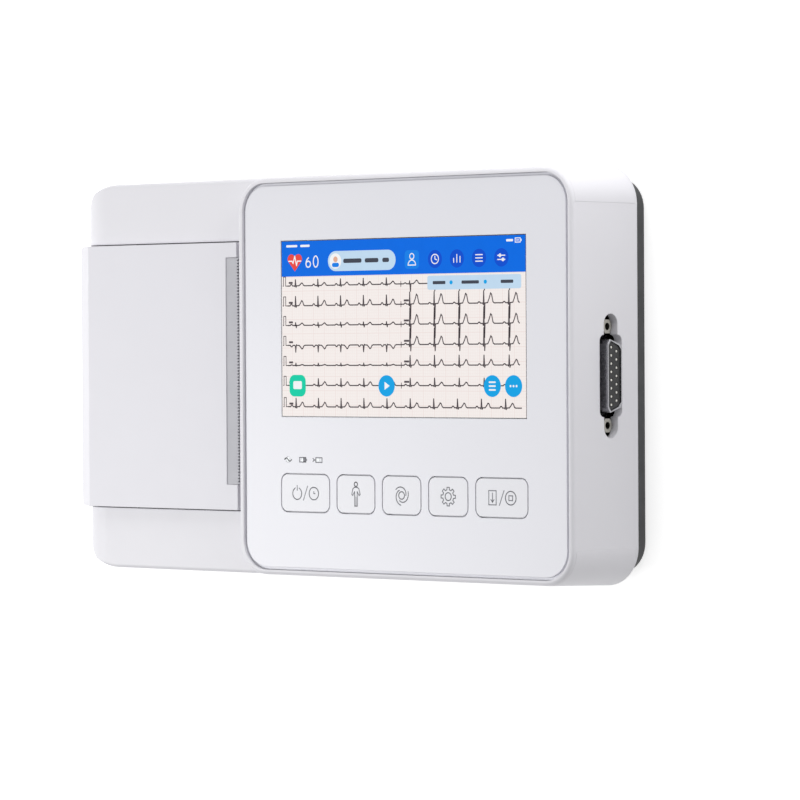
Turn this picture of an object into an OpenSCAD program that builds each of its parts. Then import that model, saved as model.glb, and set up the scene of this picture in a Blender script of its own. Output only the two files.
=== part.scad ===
// Compact electrocardiograph that lies flat on four feet: a white casing over a dark bottom cover, a raised
// panel with a screen and five keys, a strip printer under a hinged paper door, and a 15-way lead socket.
// +Z is up out of the panel, +X is towards the lead socket, +Y is towards the rear with the mains inlet.

/* [Casing] */
// Length of the white casing at its foot
case_l = 241.8; // [230:0.1:260]
// Width of the white casing at its foot
case_w = 143; // [136:1:160]
// Height of the white casing above the dark cover
case_h = 34.3; // [32:0.1:40]
// How much each side leans in from the foot to the top
draft = 1.3; // [0.5:0.1:2]
// Wall of the white casing
wall = 2.2; // [1.8:0.1:2.6]
// Corner radius of the raised section
corner_r = 12; // [9:0.5:14]
// Corner radius at the printer end
left_corner_r = 22; // [14:0.5:22]
// Round-over of the printer end, seen from the front
end_round_r = 17; // [10:0.5:18]
// Soft edge round the top of the casing
edge_r = 1.4; // [0.8:0.1:1.8]
// How far the printer section lies below the raised section
step_h = 7; // [5:0.1:8.5]
// Length of the raised section
raised_l = 150.6; // [146:0.1:156]

/* [Bottom cover] */
// Visible height of the dark cover
base_h = 10; // [8:0.1:12]
// Floor thickness of the dark cover
base_floor = 2; // [1.6:0.1:3]
// How far the dark cover stands in from the casing foot
base_inset = 2.6; // [2:0.1:4]
// How much the dark cover leans in further down to its bottom
base_draft = 1.2; // [0.8:0.1:2.6]
// Height of the feet below the cover
foot_h = 2; // [1:0.1:3]
// Radius of a rubber foot
foot_r = 7; // [5:0.5:9]

/* [Panel] */
// How much wider the rim is on the printer side
rim_extra = 0.6; // [0:0.1:1.2]
// Width of the rim round the panel
rim_w = 1.8; // [1.2:0.1:2.4]
// Groove between the rim and the overlay
groove_w = 1.1; // [0.6:0.1:1.4]
// Depth of the panel recess
recess_d = 2; // [1.7:0.1:2.4]
// Thickness of the front overlay
overlay_t = 1.6; // [1:0.1:1.6]
// Width of the screen
screen_l = 110.4; // [100:0.1:116]
// Height of the screen
screen_w = 62.1; // [56:0.1:66]
// Distance of the screen's middle from the panel's middle
screen_y = 16.8; // [12:0.1:20]
// Thickness of the touch glass
glass_t = 1.5; // [0.8:0.1:1.6]

/* [Keys] */
// Height of the keys
key_w = 13; // [11:0.1:15]
// Length of the two outer keys
key_long = 22.2; // [20:0.1:24]
// Length of the three inner keys
key_short = 17; // [14:0.1:18]
// Space between two keys
key_gap = 3.8; // [3:0.1:5]
// Distance of the key row from the panel's middle
key_y = -41; // [-44:0.1:-38]
// Corner radius of a key
key_r = 2.6; // [1:0.1:4]
// Gap round a key
key_clear = 0.4; // [0.2:0.05:0.6]
// Travel of a key
key_travel = 0.8; // [0.5:0.1:1]

/* [Paper door] */
// Width of the paper door
door_w = 96; // [92:1:100]
// How far the door stands above the printer section
door_proud = 2; // [1:0.1:2.6]
// Thickness of the door
door_t = 2; // [1.6:0.1:2.6]
// Length of the slope at the door's free end
bevel_l = 12.7; // [8:0.1:16]
// Drop of the slope at the door's free end
bevel_h = 9.2; // [6:0.1:12]
// Gap between the door and the casing
door_gap = 0.4; // [0.3:0.05:0.6]
// Width of the paper exit beside the raised section
exit_w = 4.7; // [4:0.1:7]
// Length of the tear strip
tear_l = 81.4; // [80.5:0.1:84]
// Width of the tear strip
tear_w = 5.6; // [4:0.1:6.5]
// Spacing of the teeth of the tear strip
tooth_pitch = 1.1; // [1:0.1:2]

/* [Printer] */
// Width of the paper
paper_w = 80; // [78:0.5:81]
// How far the paper lies off the middle of the machine
paper_y = 1.9; // [1:0.1:2.2]
// Radius of a full roll of paper
roll_r = 14.8; // [12:0.1:16]
// Radius of the platen roller
platen_r = 5; // [4:0.1:5.5]
// Radius of the platen shaft
shaft_r = 2; // [1.5:0.1:2.5]
// Module of the printer gears
gear_m = 0.6; // [0.5:0.05:0.65]
// Teeth of the platen gear
platen_teeth = 18; // [16:2:20]
// Teeth of the idler gear
idler_teeth = 28; // [24:2:30]
// Teeth of the motor pinion
pinion_teeth = 10; // [10:1:12]
// Radius of the stepper motor
motor_r = 9; // [7:0.5:9.5]

/* [Lead socket] */
// Distance between the two jack screws
jack_pitch = 33.3; // [33.3:0.1:36]
// Depth of the socket's middle below the panel
socket_depth = 20; // [17:0.5:22]
// How far the socket shell stands out of the casing
socket_proud = 1.2; // [0.6:0.1:2]

/* [Battery] */
// Length of the battery pack
battery_l = 72; // [66:1:74]
// Width of the battery pack
battery_w = 72; // [60:1:76]
// Thickness of the battery pack
battery_t = 19; // [16:0.5:19.5]

/* [Hidden] */
$fn = 64;
eps = 0.01;
end_overlap = 60;

// Overall levels
case_z = foot_h + base_h;
top_z = case_z + case_h;
left_z = top_z - step_h;
floor_z = foot_h + base_floor;

// Overall ends: the door stands out on the left and the socket shell on the right
door_out = 2.2;
total_l = case_l + door_out + socket_proud;
left_x = -total_l / 2 + door_out;
right_x = total_l / 2 - socket_proud;
raised_x = right_x - draft - raised_l;

// Panel stack
seat_z = top_z - recess_d;
overlay_z = seat_z + overlay_t;
plate_t = 2;
plate_z = seat_z - plate_t;
panel_x = (raised_x + rim_extra + right_x - draft) / 2;
panel_l = raised_l - rim_extra - 2 * (rim_w + groove_w);
panel_w = case_w - 2 * draft - 2 * (rim_w + groove_w);

// Door and hinge
door_z = left_z + door_proud;
door_right_x = raised_x - exit_w - door_gap;
door_left_x = left_x - door_out;
barrel_r = 2.7;
hinge_x = door_left_x + barrel_r;
hinge_z = case_z + 6;
pin_r = 1.25;
run_clear = 0.05;

// Printer layout
roll_x = left_x + 24;
roll_z = floor_z + 2 + roll_r + 1.2;
platen_x = door_right_x - 6.3;
platen_z = door_z - door_t - 6.8;
platen_gear_r = gear_m * platen_teeth / 2;
idler_gear_r = gear_m * idler_teeth / 2;
pinion_gear_r = gear_m * pinion_teeth / 2;
motor_len = 17;
swing = atan2(platen_z - hinge_z, platen_x - hinge_x);
idler_x = platen_x + (platen_gear_r + idler_gear_r) * sin(swing);
idler_z = platen_z - (platen_gear_r + idler_gear_r) * cos(swing);
pinion_drop = 10;
pinion_x = idler_x + (idler_gear_r + pinion_gear_r) * cos(pinion_drop);
pinion_z = idler_z - (idler_gear_r + pinion_gear_r) * sin(pinion_drop);
cheek_t = 1.8;
cheek_clear = 1;
cheek_in_a = paper_y - paper_w / 2 - cheek_clear;
cheek_in_b = paper_y + paper_w / 2 + cheek_clear;
gear_t = 2.6;
arm_t = 1.6;
side_gap = 0.4;
gear_y = cheek_in_a - cheek_t - side_gap - arm_t - side_gap - gear_t;

// Colours
white = [0.90, 0.90, 0.92];
dark = [0.30, 0.30, 0.31];
grey = [0.72, 0.72, 0.75];
steel = [0.72, 0.73, 0.75];
green = [0.10, 0.36, 0.22];
black = [0.10, 0.10, 0.11];

// ---- Shared shapes ----

// Rounded rectangle centred on the origin
module rr(l, w, r) {
    square([l - 2 * r, w], center = true);
    square([l, w - 2 * r], center = true);
    for (sx = [-1, 1], sy = [-1, 1])
        translate([sx * (l / 2 - r), sy * (w / 2 - r)]) circle(r);
}

// Rounded plate from x0 to x1, centred on y, from z upwards
module plate(x0, x1, y, w, r, z, h) {
    translate([(x0 + x1) / 2, y, z]) linear_extrude(h) rr(x1 - x0, w, r);
}

// Plate along the whole casing, centred on Y, with its own corner radius at each end
module long_plate(x0, x1, w, left_r, right_r, z, h) {
    plate(x0, x1 - end_overlap, 0, w, left_r, z, h);
    plate(x0 + end_overlap, x1, 0, w, right_r, z, h);
}

// Box given by its two corners
module box(a, b) {
    translate(a) cube(b - a);
}

// Extrudes an outline drawn in X and Z along Y, from y0 to y1
module along_y(y0, y1) {
    translate([0, y1, 0]) rotate([90, 0, 0]) linear_extrude(y1 - y0) children();
}

// Cylinder along Y from y0 to y1
module rod_y(x, z, r, y0, y1) {
    translate([x, y1, z]) rotate([90, 0, 0]) cylinder(r = r, h = y1 - y0);
}

// Cylinder along X from x0 to x1
module rod_x(y, z, r, x0, x1) {
    translate([x0, y, z]) rotate([0, 90, 0]) cylinder(r = r, h = x1 - x0);
}

// Outline of a leaning wall with a soft top edge, measured outwards from the corner's axis
function wall_outline(r, h, lean, soft) = concat(
    [[0, 0], [r, 0]],
    [for (a = [0:18:90]) [r - lean - soft + soft * cos(a), h - soft + soft * sin(a)]],
    [[0, h]]
);

// Block with rounded corners whose walls follow one outline all round: w is its widest, r the corner radius there
module swept_block(x0, x1, w, r, z, h, outline) {
    l = x1 - x0;
    translate([(x0 + x1) / 2, 0, z]) {
        for (s = [0, 1]) rotate([0, 0, 180 * s]) {
            translate([l / 2 - r, w / 2 - r]) rotate_extrude(angle = 90) polygon(outline);
            rotate([0, 0, -90]) translate([w / 2 - r, l / 2 - r]) rotate_extrude(angle = 90) polygon(outline);
            translate([l / 2 - r, w / 2 - r, 0]) rotate([90, 0, 0]) linear_extrude(w - 2 * r) polygon(outline);
            translate([-l / 2 + r, w / 2 - r, 0]) rotate([90, 0, 90]) linear_extrude(l - 2 * r) polygon(outline);
        }
        translate([-l / 2 + r, -w / 2 + r, 0]) cube([l - 2 * r, w - 2 * r, h]);
    }
}

// Leaning rounded block, widest at its foot
module leaning_block(x0, x1, w, r, z, h, lean, soft) {
    swept_block(x0, x1, w, r, z, h, wall_outline(r, h, lean, soft));
}

// Outline of a gear with straight-sided teeth
function gear_outline(teeth, m) = let (r = m * teeth / 2, q = 360 / teeth) [
    for (i = [0:teeth - 1]) for (p = [[-0.3, -1.2], [-0.12, 0.95], [0.12, 0.95], [0.3, -1.2]])
        (r + p[1] * m) * [cos((i + p[0]) * q), sin((i + p[0]) * q)]
];

// Gear in the X-Z plane, turned by phase degrees, from y0 upwards along Y
module gear_y(x, z, teeth, phase, bore) {
    translate([x, gear_y, z]) rotate([90, 0, 0]) rotate([0, 0, phase]) translate([0, 0, -gear_t])
        linear_extrude(gear_t) difference() {
            polygon(gear_outline(teeth, gear_m));
            circle(bore);
        }
}

// Pan-head screw seen from below, head at z, shank upwards
module screw(x, y, z, r, head_r, l) {
    translate([x, y, z]) difference() {
        union() {
            cylinder(r = head_r, h = 1.2);
            cylinder(r = r, h = l);
        }
        for (a = [0, 90]) rotate(a) translate([-head_r * 0.6, -0.35, -eps]) cube([head_r * 1.2, 0.7, 0.6]);
    }
}

// ---- Casing ----

boss_r = 3.4;
boss_bore = 1.3;
boss_drop = 4.6;
boss_at = [
    [left_x + 13.5, case_w / 2 - 13.5], [left_x + 13.5, -case_w / 2 + 13.5],
    [raised_x - 8, case_w / 2 - 13.5], [raised_x - 8, -case_w / 2 + 13.5],
    [right_x - 12, case_w / 2 - 13.5], [right_x - 12, -case_w / 2 + 13.5]
];
bay_half = door_w / 2 + door_gap;
bay_x = raised_x;
socket_z = top_z - socket_depth;
inlet_x = raised_x + 30;
stud_x = inlet_x + 28;
usb_x = stud_x + 24;
net_x = usb_x + 24;
rear_z = case_z + 12.4;
foot_x = case_l / 2 - 20;
foot_y = case_w / 2 - 22;

module case_skin() {
    leaning_block(raised_x - draft, right_x, case_w, corner_r + draft, case_z, case_h, draft, edge_r);
    difference() {
        leaning_block(left_x, right_x - 40, case_w, left_corner_r, case_z, case_h - step_h,
            draft * (case_h - step_h) / case_h, edge_r);
        difference() {
            box([left_x - 5, -case_w, left_z - end_round_r], [left_x + end_round_r, case_w, left_z + 5]);
            rod_y(left_x + end_round_r, left_z - end_round_r, end_round_r, -case_w - 1, case_w + 1);
        }
    }
}

module case_hollow() {
    long_plate(left_x + wall + draft, right_x - wall - draft, case_w - 2 * wall - 2 * draft,
        left_corner_r - wall - draft, corner_r - wall, case_z - eps, case_h - step_h - end_round_r);
    plate(left_x + end_round_r, right_x - wall - draft, 0, case_w - 2 * wall - 2 * draft, 2,
        case_z - eps, left_z - wall - case_z);
    plate(raised_x + wall, right_x - wall - draft, 0, case_w - 2 * wall - 2 * draft, corner_r - wall,
        case_z, plate_z - case_z);
}

module key_shape(i, grow) {
    l = key_len(i) + 2 * grow;
    translate([key_x(i), key_y]) rr(l, key_w + 2 * grow, key_r + grow);
}

function key_len(i) = (i == 0 || i == 4) ? key_long : key_short;
function key_x(i) = panel_x + [
    -key_short * 1.5 - key_gap * 2 - key_long / 2, -key_short - key_gap, 0, key_short + key_gap,
    key_short * 1.5 + key_gap * 2 + key_long / 2][i];

key_flange = 0.6;
lens_x = key_x(0) - key_long / 2 + 3;
lens_y = key_y + key_w / 2 + 5.2;
lens_pitch = 7;

socket_slot_l = jack_pitch + 8;
socket_slot_w = 6.6;
socket_mid_l = 27;
socket_mid_w = 11;

module socket_cut(grow) {
    rotate([90, 0, 90]) linear_extrude(20, center = true) {
        round_slot(socket_slot_l + 2 * grow, socket_slot_w + 2 * grow);
        rr(socket_mid_l + 2 * grow, socket_mid_w + 2 * grow, 2);
    }
}

// Slot with round ends, centred
module round_slot(l, w) {
    square([l - w, w], center = true);
    for (s = [-1, 1]) translate([s * (l - w) / 2, 0]) circle(w / 2);
}

module upper_case() {
    color(white) difference() {
        union() {
            difference() {
                case_skin();
                case_hollow();
            }
            for (p = boss_at) {
                top = (p[0] < roll_x) ? left_z - boss_drop : (p[0] < raised_x) ? left_z - wall : plate_z;
                low = floor_z + 3;
                translate([p[0], p[1], low]) cylinder(r = boss_r, h = top - low + eps);
            }
            // Cup that the earth stud stands in
            rod_y(stud_x, rear_z, cup_r + 1.4, rear_y - cup_d - 1.6, rear_y - 1);
        }
        for (p = boss_at) translate([p[0], p[1], floor_z]) cylinder(r = boss_bore, h = 18);
        // Recess of the overlay, with the screen and key windows through the plate under it
        plate(panel_x - panel_l / 2 - groove_w, panel_x + panel_l / 2 + groove_w, 0, panel_w + 2 * groove_w,
            corner_r - rim_w, seat_z, recess_d + 1);
        plate(panel_x - screen_l / 2 + 2, panel_x + screen_l / 2 - 2, screen_y, screen_w - 4, 1,
            plate_z - 1, plate_t + 2);
        for (i = [0:4]) translate([0, 0, plate_z - 1]) linear_extrude(plate_t + 2) key_shape(i, key_flange + 0.4);
        for (i = [0:2]) translate([lens_x + i * lens_pitch, lens_y, plate_z - 1]) cylinder(r = 1.3, h = plate_t + 2);
        // Opening of the paper bay, over the top and down the printer end
        box([left_x - 5, -bay_half, hinge_z - barrel_r - door_gap], [bay_x, bay_half, left_z + 1]);
        // Lead socket in the right side
        translate([right_x, 0, socket_z]) socket_cut(0.3);
        // Mains inlet, earth stud and data sockets in the rear
        box([inlet_x - inlet_l / 2 - 0.2, 0, rear_z - inlet_h / 2 - 0.2],
            [inlet_x + inlet_l / 2 + 0.2, case_w, rear_z + inlet_h / 2 + 0.2]);
        rod_y(stud_x, rear_z, stud_r, 0, case_w);
        rod_y(stud_x, rear_z, cup_r, rear_y - cup_d, case_w);
        box([usb_x - usb_l / 2 - 0.2, 0, rear_z - usb_h / 2 - 0.2], [usb_x + usb_l / 2 + 0.2, case_w, rear_z + usb_h / 2 + 0.2]);
        box([net_x - net_l / 2 - 0.2, 0, rear_z - net_h / 2 - 0.2], [net_x + net_l / 2 + 0.2, case_w, rear_z + net_h / 2 + 0.2]);
    }
}

// ---- Bottom cover ----

cover_wall = 2;
cover_x0 = left_x + base_inset;
cover_x1 = right_x - base_inset;
cover_w = case_w - 2 * base_inset;
bat_y = 2;
bat_cover_l = battery_l + 8;
bat_foot_gap = 0.6;
bat_x = foot_x - foot_r - bat_foot_gap - bat_cover_l / 2;
bat_cover_w = battery_w + 8;
cover_screw_x = bat_cover_l / 2 - 4;
speaker_x = raised_x + 25;
speaker_y = -46;
speaker_r = 12;

cover_edge_r = 1.5;
lip_clear = 0.3;

cover_left_r = left_corner_r - base_inset;

// Wall of the dark cover, which narrows towards its rounded bottom edge, for a corner of radius r
function cover_outline(r) = concat(
    [[0, 0]],
    [for (a = [-90:18:0]) [r - base_draft - cover_edge_r + cover_edge_r * cos(a), cover_edge_r + cover_edge_r * sin(a)]],
    [[r, base_h], [0, base_h]]
);

module cover_skin() {
    swept_block(cover_x0, cover_x1 - end_overlap, cover_w, cover_left_r, foot_h, base_h, cover_outline(cover_left_r));
    swept_block(cover_x0 + end_overlap, cover_x1, cover_w, corner_r, foot_h, base_h, cover_outline(corner_r));
}

module bottom_cover() {
    color(dark) difference() {
        union() {
            cover_skin();
            long_plate(left_x + draft + wall + lip_clear, right_x - draft - wall - lip_clear,
                case_w - 2 * (draft + wall + lip_clear), left_corner_r - draft - wall - lip_clear,
                corner_r - wall - lip_clear, case_z - 1, 3);
        }
        difference() {
            long_plate(cover_x0 + base_draft + cover_wall, cover_x1 - base_draft - cover_wall,
                cover_w - 2 * (base_draft + cover_wall), cover_left_r - base_draft - cover_wall,
                corner_r - base_draft - cover_wall, floor_z, base_h + 4);
            for (p = boss_at) translate([p[0], p[1], foot_h]) cylinder(r = boss_r + 0.4, h = base_floor + 3);
        }
        // Printer end: room for the door's hinge
        box([left_x - 5, -bay_half, case_z - eps], [left_x + 14, bay_half, case_z + 5]);
        for (p = boss_at) {
            translate([p[0], p[1], foot_h - 1]) cylinder(r = 1.7, h = 12);
            translate([p[0], p[1], foot_h - 1]) cylinder(r = 3, h = 3);
        }
        for (sx = [-1, 1], sy = [-1, 1])
            translate([sx * foot_x, sy * foot_y, foot_h - 1]) cylinder(r = foot_r + 0.1, h = 2);
        // Battery opening with the rebate of its cover
        plate(bat_x - battery_l / 2 - 0.5, bat_x + battery_l / 2 + 0.5, bat_y, battery_w + 1, 2, foot_h - 1, 5);
        plate(bat_x - bat_cover_l / 2 - 0.3, bat_x + bat_cover_l / 2 + 0.3, bat_y, bat_cover_w + 0.6, 3,
            foot_h - 1, 1 + base_floor / 2);
        for (s = [-1, 1]) translate([bat_x + s * cover_screw_x, bat_y - s * (bat_cover_w / 2 - 4), 0])
            translate([s * 1.2, s * -1.2, foot_h - 1]) cylinder(r = 1.1, h = 6);
        // Sound slots under the speaker
        for (i = [-3:3]) translate([speaker_x + i * 3.2, speaker_y, foot_h - 1])
            linear_extrude(5) square([1.4, 2 * sqrt(speaker_r * speaker_r - pow(i * 3.2, 2)) - 6], center = true);
    }
}

module battery_cover() {
    color(dark) difference() {
        plate(bat_x - bat_cover_l / 2, bat_x + bat_cover_l / 2, bat_y, bat_cover_w, 3, foot_h, base_floor / 2);
        for (s = [-1, 1]) translate([bat_x + s * (cover_screw_x + 1.2), bat_y - s * (bat_cover_w / 2 - 2.8), foot_h - 1])
            cylinder(r = 1.3, h = 4);
        for (i = [-2:2]) translate([bat_x + bat_cover_l / 2 - 14 + i * 2.4, bat_y, foot_h - 0.5])
            linear_extrude(1) square([1.2, 18], center = true);
    }
}

module rubber_feet() {
    color(black) for (sx = [-1, 1], sy = [-1, 1]) translate([sx * foot_x, sy * foot_y, 0]) {
        cylinder(r1 = foot_r - 0.8, r2 = foot_r, h = foot_h - 0.5);
        translate([0, 0, foot_h - 0.5]) cylinder(r = foot_r, h = 1.5);
    }
}

module case_screws() {
    color(steel) for (p = boss_at) screw(p[0], p[1], foot_h + 0.8, boss_bore, 2.6, 11);
}

module cover_screws() {
    color(steel) for (s = [-1, 1])
        screw(bat_x + s * (cover_screw_x + 1.2), bat_y - s * (bat_cover_w / 2 - 2.8), foot_h - 1.2, 1.1, 2, 3.2);
}

// ---- Panel ----

flange_clear = 0.1;
flange_t = overlay_t / 2;
flange_l = panel_l + 2 * (groove_w - flange_clear);

module front_overlay() {
    color(white) difference() {
        union() {
            plate(panel_x - panel_l / 2, panel_x + panel_l / 2, 0, panel_w, corner_r - rim_w - groove_w, seat_z, overlay_t);
            // Thin flange that fills the bottom of the groove
            plate(panel_x - flange_l / 2, panel_x + flange_l / 2, 0, panel_w + flange_l - panel_l,
                corner_r - rim_w - flange_clear, seat_z, flange_t);
        }
        box([panel_x - screen_l / 2, screen_y - screen_w / 2, seat_z - 1],
            [panel_x + screen_l / 2, screen_y + screen_w / 2, overlay_z + 1]);
        for (i = [0:4]) {
            translate([0, 0, seat_z - 1]) linear_extrude(overlay_t + 2) key_shape(i, key_clear);
            translate([0, 0, seat_z - 1]) linear_extrude(1.4) key_shape(i, key_flange + 0.4);
        }
        for (i = [0:2]) translate([lens_x + i * lens_pitch, lens_y, seat_z - 1]) cylinder(r = 1, h = overlay_t + 2);
    }
}

module touch_glass() {
    color([0.2, 0.45, 0.8])
        box([panel_x - screen_l / 2 + 0.1, screen_y - screen_w / 2 + 0.1, seat_z],
            [panel_x + screen_l / 2 - 0.1, screen_y + screen_w / 2 - 0.1, seat_z + glass_t]);
}

display_t = 3.5;

module display_module() {
    color(steel) difference() {
        plate(panel_x - screen_l / 2 - 4, panel_x + screen_l / 2 + 4, screen_y - 2, screen_w + 8, 1,
            plate_z - display_t, display_t);
        box([panel_x - screen_l / 2 + 1.5, screen_y - screen_w / 2 + 1.5, plate_z - 0.6],
            [panel_x + screen_l / 2 - 1.5, screen_y + screen_w / 2 - 1.5, plate_z + 1]);
    }
}

module status_lenses() {
    color([0.8, 0.85, 0.8]) for (i = [0:2]) translate([lens_x + i * lens_pitch, lens_y, 0]) {
        translate([0, 0, seat_z]) cylinder(r = 0.95, h = overlay_t);
        translate([0, 0, plate_z - 0.6]) cylinder(r = 1.25, h = plate_t + 0.6);
    }
}

key_low = plate_z - 0.2;
board_top = key_low - key_travel - 1.1;

// A key cap with the flange that keeps it in and the stem that works its switch
module key_cap(i) {
    color(white) {
        translate([0, 0, seat_z + 0.3]) linear_extrude(overlay_t - 0.3) key_shape(i, 0);
        translate([0, 0, seat_z - 1]) linear_extrude(1.3) key_shape(i, key_flange);
        translate([key_x(i), key_y, key_low - 0.1]) cylinder(r = 2.2, h = seat_z - key_low);
    }
}

module power_key() { key_cap(0); }
module patient_key() { key_cap(1); }
module rhythm_key() { key_cap(2); }
module menu_key() { key_cap(3); }
module print_key() { key_cap(4); }

module key_board() {
    color(green) {
        difference() {
            plate(key_x(0) - key_long / 2 - 3, key_x(4) + key_long / 2 + 3, key_y + 3, key_w + 14, 1, board_top - 1.6, 1.6);
            for (s = [-1, 1]) translate([panel_x + s * (key_x(4) - panel_x - key_long / 2 - key_gap / 2), key_y, 0])
                translate([0, 0, board_top - 2]) cylinder(r = 1.2, h = 3);
        }
        for (i = [0:4]) translate([key_x(i), key_y, board_top]) {
            translate([-3, -3, 0]) cube([6, 6, 0.7]);
            cylinder(r = 1.7, h = 0.9);
        }
        for (i = [0:2]) translate([lens_x + i * lens_pitch, lens_y, board_top]) cylinder(r = 1.1, h = 1.2);
    }
    // Two posts hold the board against the casing plate
    color(green) for (s = [-1, 1]) translate([panel_x + s * (key_x(4) - panel_x - key_long / 2 - key_gap / 2), key_y + 9, board_top])
        cylinder(r = 1.3, h = plate_z - board_top);
}

// ---- Boards and supply ----

board_z = floor_z + battery_t + 3.2;
board_x0 = raised_x + 36;
board_x1 = right_x - 18;

module board(x0, x1, y0, y1, z) {
    translate([0, 0, z]) linear_extrude(1.6) translate([(x0 + x1) / 2, (y0 + y1) / 2]) rr(x1 - x0, y1 - y0, 2);
}

module main_board() {
    color(green) {
        board(board_x0, board_x1, -44, 44, board_z);
        for (p = [[0.25, 0.5, 14, 14, 1.6], [0.55, 0.3, 9, 9, 1.2], [0.5, 0.7, 12, 8, 1.4], [0.8, 0.62, 6, 10, 3.2],
                  [0.15, 0.2, 10, 5, 3]])
            translate([board_x0 + p[0] * (board_x1 - board_x0) - p[2] / 2, -44 + p[1] * 88 - p[3] / 2, board_z + 1.6])
                cube([p[2], p[3], p[4]]);
    }
    // Pillars from the cover's floor beside the battery
    color(steel) for (sx = [0, 1], sy = [-1, 1])
        translate([sx == 0 ? board_x0 + 3 : board_x1 - 3, sy * 41, floor_z]) cylinder(r = 2.4, h = board_z - floor_z);
}

supply_x0 = raised_x + 4;
supply_x1 = board_x0 - 4;
supply_y0 = cheek_in_a + motor_len + 3;
supply_y1 = 36;

module power_board() {
    color(green) {
        board(supply_x0, supply_x1, supply_y0, supply_y1, floor_z + 4);
        translate([supply_x0 + 5, supply_y1 - 32, floor_z + 5.6]) cube([15, 16, 13]);
        translate([supply_x0 + 7, supply_y0 + 3, floor_z + 5.6]) cube([6, 14, 10]);
        for (i = [0, 1]) translate([supply_x1 - 7, supply_y0 + 6 + i * 11, floor_z + 5.6]) cylinder(r = 4.5, h = 12);
    }
    color(steel) for (sx = [0, 1], sy = [0, 1])
        translate([sx == 0 ? supply_x0 + 3 : supply_x1 - 3, sy == 0 ? supply_y0 + 3 : supply_y1 - 3, floor_z]) cylinder(r = 2.2, h = 4);
}

module battery_pack() {
    color([0.25, 0.35, 0.6]) {
        plate(bat_x - battery_l / 2, bat_x + battery_l / 2, bat_y, battery_w, 2, foot_h + 1 + base_floor / 2 - 0.5,
            battery_t);
    }
}

module speaker() {
    color(black) difference() {
        union() {
            translate([speaker_x, speaker_y, floor_z]) cylinder(r = speaker_r, h = 2.4);
            translate([speaker_x, speaker_y, floor_z + 2.4]) cylinder(r1 = speaker_r - 2, r2 = 7, h = 3);
            translate([speaker_x, speaker_y, floor_z + 5.4]) cylinder(r = 6, h = 2);
        }
        translate([speaker_x, speaker_y, floor_z - eps]) cylinder(r1 = speaker_r - 2, r2 = 5, h = 3.4);
    }
}

// ---- Sockets ----

shell_l = 24.7;
shell_w = 7.9;
pin_pitch = 2.77;

// D-shaped outline of the lead socket, long side along Y
module d_outline(grow) {
    l = shell_l / 2 + grow;
    w = shell_w / 2 + grow;
    polygon([[-w, -l + 1.5], [-w + 1.2, -l], [w - 1.2, -l + 1.6], [w, -l + 3], [w, l - 3], [w - 1.2, l - 1.6],
        [-w + 1.2, l], [-w, l - 1.5]]);
}

module in_socket(x) {
    translate([x, 0, socket_z]) rotate([0, 90, 0]) children();
}

module socket_shell() {
    color(steel) {
        in_socket(right_x - 7) linear_extrude(7 + socket_proud) difference() {
            d_outline(0);
            d_outline(-0.5);
        }
        difference() {
            in_socket(right_x - 8) linear_extrude(1) square([12.5, jack_pitch + 6], center = true);
            in_socket(right_x - 9) linear_extrude(3) d_outline(-0.5);
            for (s = [-1, 1]) rod_x(s * jack_pitch / 2, socket_z, 1.6, right_x - 9, right_x - 6);
        }
    }
}

module socket_insert() {
    color(black) difference() {
        union() {
            in_socket(right_x - 8) linear_extrude(8 + socket_proud - 0.4) d_outline(-0.6);
            in_socket(right_x - 14) linear_extrude(6) square([10, shell_l - 2], center = true);
        }
        for (i = [0:7]) rod_x((i - 3.5) * pin_pitch, socket_z + 1.42, 0.6, right_x - 4, right_x + 5);
        for (i = [0:6]) rod_x((i - 3) * pin_pitch, socket_z - 1.42, 0.6, right_x - 4, right_x + 5);
    }
    // Row of contacts soldered through a small board behind the socket
    color(green) in_socket(right_x - 15.2) linear_extrude(1.2) square([12.5, jack_pitch + 6], center = true);
}

jack_hole_r = 1.25;
jack_l = 5;

module jack_screws() {
    color(steel) for (s = [-1, 1]) translate([right_x - 7, s * jack_pitch / 2, socket_z]) rotate([0, 90, 0]) {
        difference() {
            cylinder(r = 2.7, h = jack_l, $fn = 6);
            translate([0, 0, -eps]) cylinder(r = jack_hole_r, h = jack_l + 1);
        }
        difference() {
            translate([0, 0, -4]) cylinder(r = 1.5, h = 4);
            translate([0, 0, -1]) cylinder(r = jack_hole_r, h = 2);
        }
    }
}

inlet_l = 27.5;
inlet_h = 20;
inlet_deep = 16;
stud_r = 3;
cup_r = 8;
cup_d = 9.4;
usb_l = 13.2;
usb_h = 5.8;
net_l = 16;
net_h = 13.4;
rear_y = case_w / 2 - draft * (rear_z - case_z) / case_h;

module mains_inlet() {
    color(black) difference() {
        box([inlet_x - inlet_l / 2, rear_y - inlet_deep - 3, rear_z - inlet_h / 2],
            [inlet_x + inlet_l / 2, rear_y - 0.2, rear_z + inlet_h / 2]);
        box([inlet_x - 12, rear_y - inlet_deep, rear_z - 8], [inlet_x + 12, rear_y + 1, rear_z + 8]);
    }
}

module inlet_blades() {
    color(steel) for (p = [[-7, -3], [7, -3], [0, 3.5]])
        box([inlet_x + p[0] - 1, rear_y - inlet_deep, rear_z + p[1] - 2],
            [inlet_x + p[0] + 1, rear_y - 2, rear_z + p[1] + 2]);
}

module earth_stud() {
    color([0.80, 0.65, 0.30]) {
        rod_y(stud_x, rear_z, stud_r, rear_y - cup_d - 4.6, rear_y - 1);
        rod_y(stud_x, rear_z, stud_r + 1.6, rear_y - cup_d, rear_y - cup_d + 1.4);
        rod_y(stud_x, rear_z, stud_r + 2, rear_y - cup_d - 4, rear_y - cup_d - 1.6);
    }
}

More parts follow.
